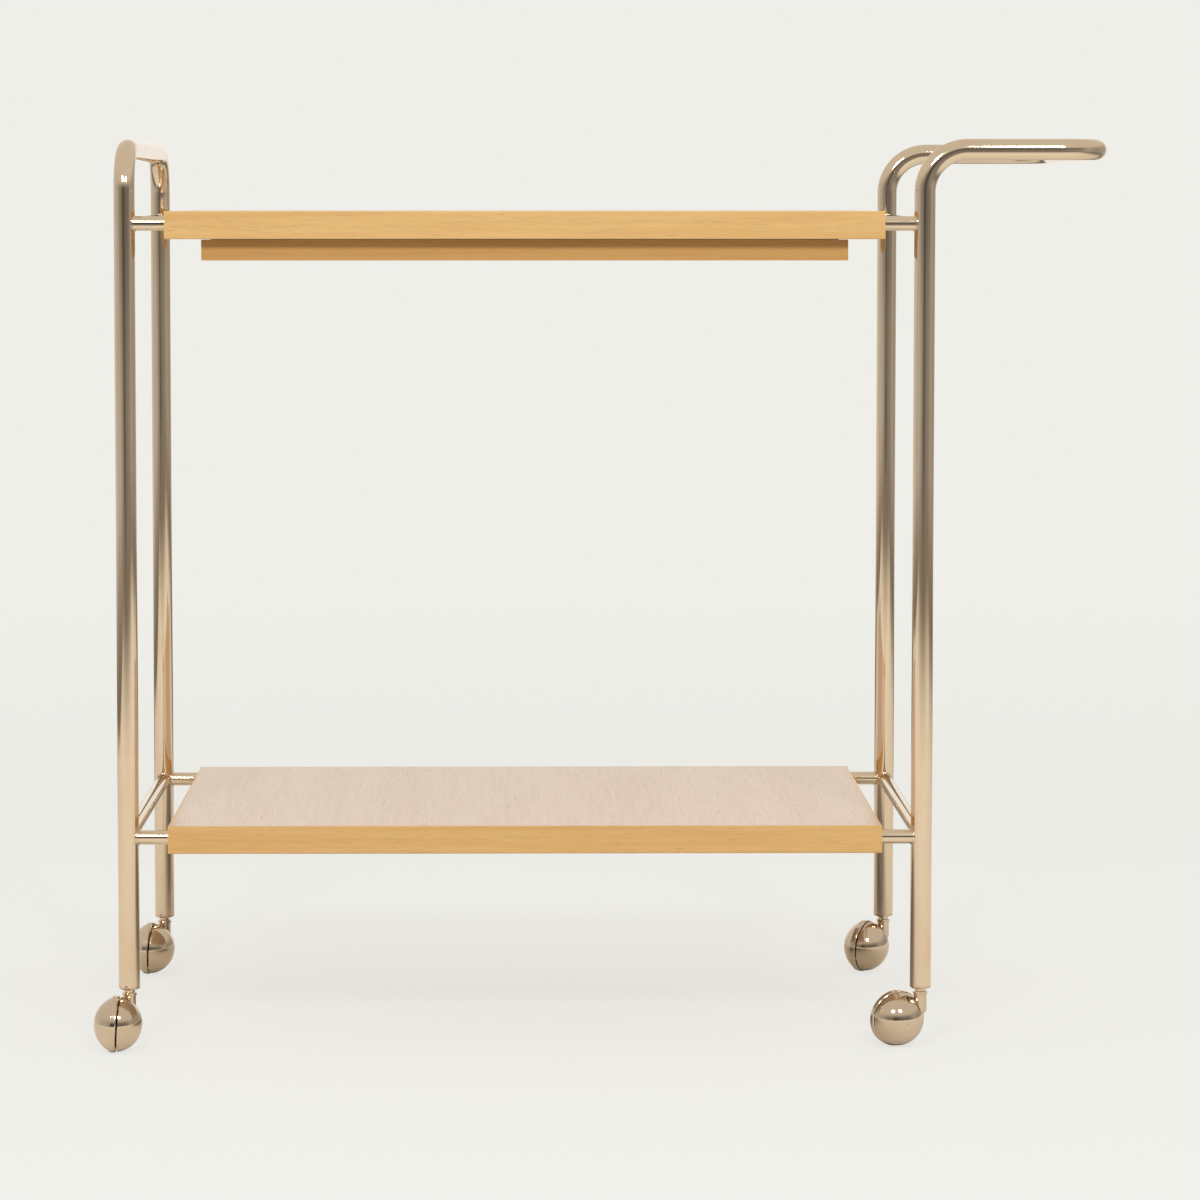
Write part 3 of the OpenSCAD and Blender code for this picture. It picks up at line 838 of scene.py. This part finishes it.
def floor_material(settings):
    """Glowing paper that shows pale shadows to the eye; in reflections, a paper strip on a dim floor, with a
    painted shadow under the cart.
    """
    material = bpy.data.materials.new("floor_paper")
    material.use_nodes = True
    tree = material.node_tree
    tree.nodes.clear()
    output = tree.nodes.new("ShaderNodeOutputMaterial")
    place = tree.nodes.new("ShaderNodeTexCoord").outputs["Object"]
    split = add_node(tree, "ShaderNodeSeparateXYZ", {0: place})
    backdrop = settings.backdrop

    paper = add_node(tree, "ShaderNodeBsdfDiffuse", {"Color": rgba(tinted(backdrop, SHADOW_TINT))})
    glow = add_node(tree, "ShaderNodeEmission", {"Color": rgba(backdrop), "Strength": PAPER_GLOW})
    seen = tree.nodes.new("ShaderNodeAddShader")
    tree.links.new(paper.outputs[0], seen.inputs[0])
    tree.links.new(glow.outputs[0], seen.inputs[1])

    left_edge = between(tree, split.outputs["X"], -1.70, -1.45)
    right_edge = between(tree, split.outputs["X"], 1.25, 2.3, 1.0, 0.0)
    front_edge = between(tree, split.outputs["Y"], -2.0, -0.65)
    back_edge = between(tree, split.outputs["Y"], 0.7, 1.6, 1.0, 0.0)
    strip = maths(tree, "MULTIPLY", maths(tree, "MULTIPLY", left_edge, right_edge),
                  maths(tree, "MULTIPLY", front_edge, back_edge))
    shade = mix_colours(tree, strip, DIM_FLOOR, rgba([c * 1.05 for c in backdrop]))
    # Painted shadow: in reflections the floor darkens to near black within an ellipse round the cart's
    # middle.
    across = maths(tree, "DIVIDE", split.outputs["X"], 0.36)
    deep = maths(tree, "DIVIDE", split.outputs["Y"], 0.24)
    under = hypotenuse(tree, across, deep)
    shade = mix_colours(tree, between(tree, under, 0.55, 1.25, 0.35, 1.0), PAINTED_CART_SHADOW, shade)
    lit = add_node(tree, "ShaderNodeBsdfDiffuse", {"Color": shade})

    camera_ray = tree.nodes.new("ShaderNodeLightPath").outputs["Is Camera Ray"]
    paper_or_strip = tree.nodes.new("ShaderNodeMixShader")
    tree.links.new(camera_ray, paper_or_strip.inputs[0])
    tree.links.new(lit.outputs[0], paper_or_strip.inputs[1])
    tree.links.new(seen.outputs[0], paper_or_strip.inputs[2])
    clear = tree.nodes.new("ShaderNodeBsdfTransparent")
    distance = add_node(tree, "ShaderNodeVectorMath", {0: place}, operation="LENGTH").outputs["Value"]
    fade = tree.nodes.new("ShaderNodeMixShader")
    tree.links.new(between(tree, distance, 1.2, 4.2), fade.inputs[0])
    tree.links.new(paper_or_strip.outputs[0], fade.inputs[1])
    tree.links.new(clear.outputs[0], fade.inputs[2])
    tree.links.new(fade.outputs[0], output.inputs["Surface"])
    return material


def make_floor(settings):
    """A round sheet of paper under the cart."""
    mesh = bpy.data.meshes.new("floor")
    shape = bmesh.new()
    bmesh.ops.create_circle(shape, cap_ends=True, segments=96, radius=5.0)
    shape.to_mesh(mesh)
    shape.free()
    mesh.materials.append(floor_material(settings))
    floor = bpy.data.objects.new("floor", mesh)
    bpy.context.scene.collection.objects.link(floor)


def make_world(settings):
    """A pale backdrop to the eye; in reflections, a dim room under a broad pale ceiling."""
    world = bpy.data.worlds.new("studio")
    bpy.context.scene.world = world
    world.use_nodes = True
    tree = world.node_tree
    tree.nodes.clear()
    output = tree.nodes.new("ShaderNodeOutputWorld")
    ray = tree.nodes.new("ShaderNodeTexCoord").outputs["Generated"]
    split = add_node(tree, "ShaderNodeSeparateXYZ", {0: ray})
    away = maths(tree, "MULTIPLY", split.outputs["Y"], -1.0)
    turn = maths(tree, "ARCTAN2", split.outputs["X"], away)
    around = maths(tree, "MULTIPLY_ADD", turn, 0.5 / math.pi, 0.5)
    walls = tree.nodes.new("ShaderNodeValToRGB")
    tree.links.new(around, walls.inputs[0])
    stops = walls.color_ramp.elements
    while len(stops) > 1:
        stops.remove(stops[0])
    stops[0].position = 0.0
    stops[0].color = rgba([c * 1.04 for c in settings.backdrop])
    for degrees, tone in WALL_TONES:
        stop = stops.new(degrees / 360 + 0.5)
        stop.color = rgba(tinted((tone, tone, tone), WALL_TINT))
    ceiling = between(tree, split.outputs["Z"], 0.12, 0.44)
    in_front = between(tree, split.outputs["Y"], -0.7, -0.2, 0.34, 0.0)
    above = between(tree, split.outputs["Z"], -0.09, 0.01)
    level = maths(tree, "SUBTRACT", 1.06, maths(tree, "MULTIPLY", in_front, above))
    low = add_node(tree, "ShaderNodeVectorMath", {0: walls.outputs["Color"]}, operation="SCALE")
    tree.links.new(level, low.inputs["Scale"])
    studio = mix_colours(tree, ceiling, low.outputs[0], CEILING_COLOUR)
    seen = tree.nodes.new("ShaderNodeLightPath").outputs["Is Camera Ray"]
    colour = mix_colours(tree, seen, studio, rgba(settings.backdrop))
    back = add_node(tree, "ShaderNodeBackground", {"Color": colour, "Strength": 1.0})
    tree.links.new(back.outputs[0], output.inputs["Surface"])


def softbox(name, place, target, size, watts):
    """A square area light turned towards a point."""
    light = bpy.data.lights.new(name, "AREA")
    light.shape = "RECTANGLE"
    light.size = light.size_y = size
    light.energy = watts
    lamp = bpy.data.objects.new(name, light)
    bpy.context.scene.collection.objects.link(lamp)
    lamp.location = place
    lamp.rotation_euler = (Vector(target) - Vector(place)).to_track_quat("-Z", "Y").to_euler()


def make_lights():
    for name, place in KEY_LIGHTS:
        softbox(name, place, CART_MIDDLE, KEY_SIZE, KEY_WATTS)


def make_camera(settings):
    lens = bpy.data.cameras.new("camera")
    lens.lens = settings.lens
    lens.sensor_width = 36.0
    lens.shift_x = settings.shift_x
    lens.shift_y = settings.shift_y
    camera = bpy.data.objects.new("camera", lens)
    bpy.context.scene.collection.objects.link(camera)
    low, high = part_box("left_frame_tube")
    front_legs_y = low.y + (high.x - low.x) / 2
    camera.location = (settings.camera_side, front_legs_y - settings.camera_back, settings.camera_height)
    camera.rotation_euler = (QUARTER_TURN - settings.pitch, 0, -settings.yaw)
    bpy.context.scene.camera = camera


class CART_OT_stage(Operator):
    """Makes the floor, the backdrop, the lights and the camera"""

    bl_idname = "cart.stage"
    bl_label = "Stage"

    def execute(self, context):
        settings = context.scene.cart_stage
        make_floor(settings)
        make_world(settings)
        make_lights()
        make_camera(settings)
        context.scene.view_settings.view_transform = "Standard"
        return {"FINISHED"}


# ---- Panel and registration ----


class CART_PT_panel(Panel):
    """Lists the cart's pieces and its stage"""

    bl_label = "Bar Cart"
    bl_idname = "CART_PT_panel"
    bl_space_type = "VIEW_3D"
    bl_region_type = "UI"
    bl_category = "Bar Cart"

    def draw(self, context):
        for operator in OPERATORS:
            self.layout.operator(operator.bl_idname)


SETTINGS = (
    ("cart_metal", MetalSettings),
    ("cart_screws", ScrewSettings),
    ("cart_oak", OakSettings),
    ("cart_stage", StageSettings),
)
OPERATORS = (
    CART_OT_stage,
    CART_OT_finishes,
    CART_OT_end_frames,
    CART_OT_rails_and_rods,
    CART_OT_screws,
)


def register():
    for name, settings in SETTINGS:
        bpy.utils.register_class(settings)
        setattr(bpy.types.Scene, name, PointerProperty(type=settings))
    for cls in (*OPERATORS, CART_PT_panel):
        bpy.utils.register_class(cls)


def unregister():
    for cls in (CART_PT_panel, *reversed(OPERATORS)):
        bpy.utils.unregister_class(cls)
    for name, settings in reversed(SETTINGS):
        delattr(bpy.types.Scene, name)
        bpy.utils.unregister_class(settings)


def main():
    register()
    for operator in OPERATORS:
        family, action = operator.bl_idname.split(".")
        getattr(getattr(bpy.ops, family), action)()


if __name__ == "__main__":
    main()
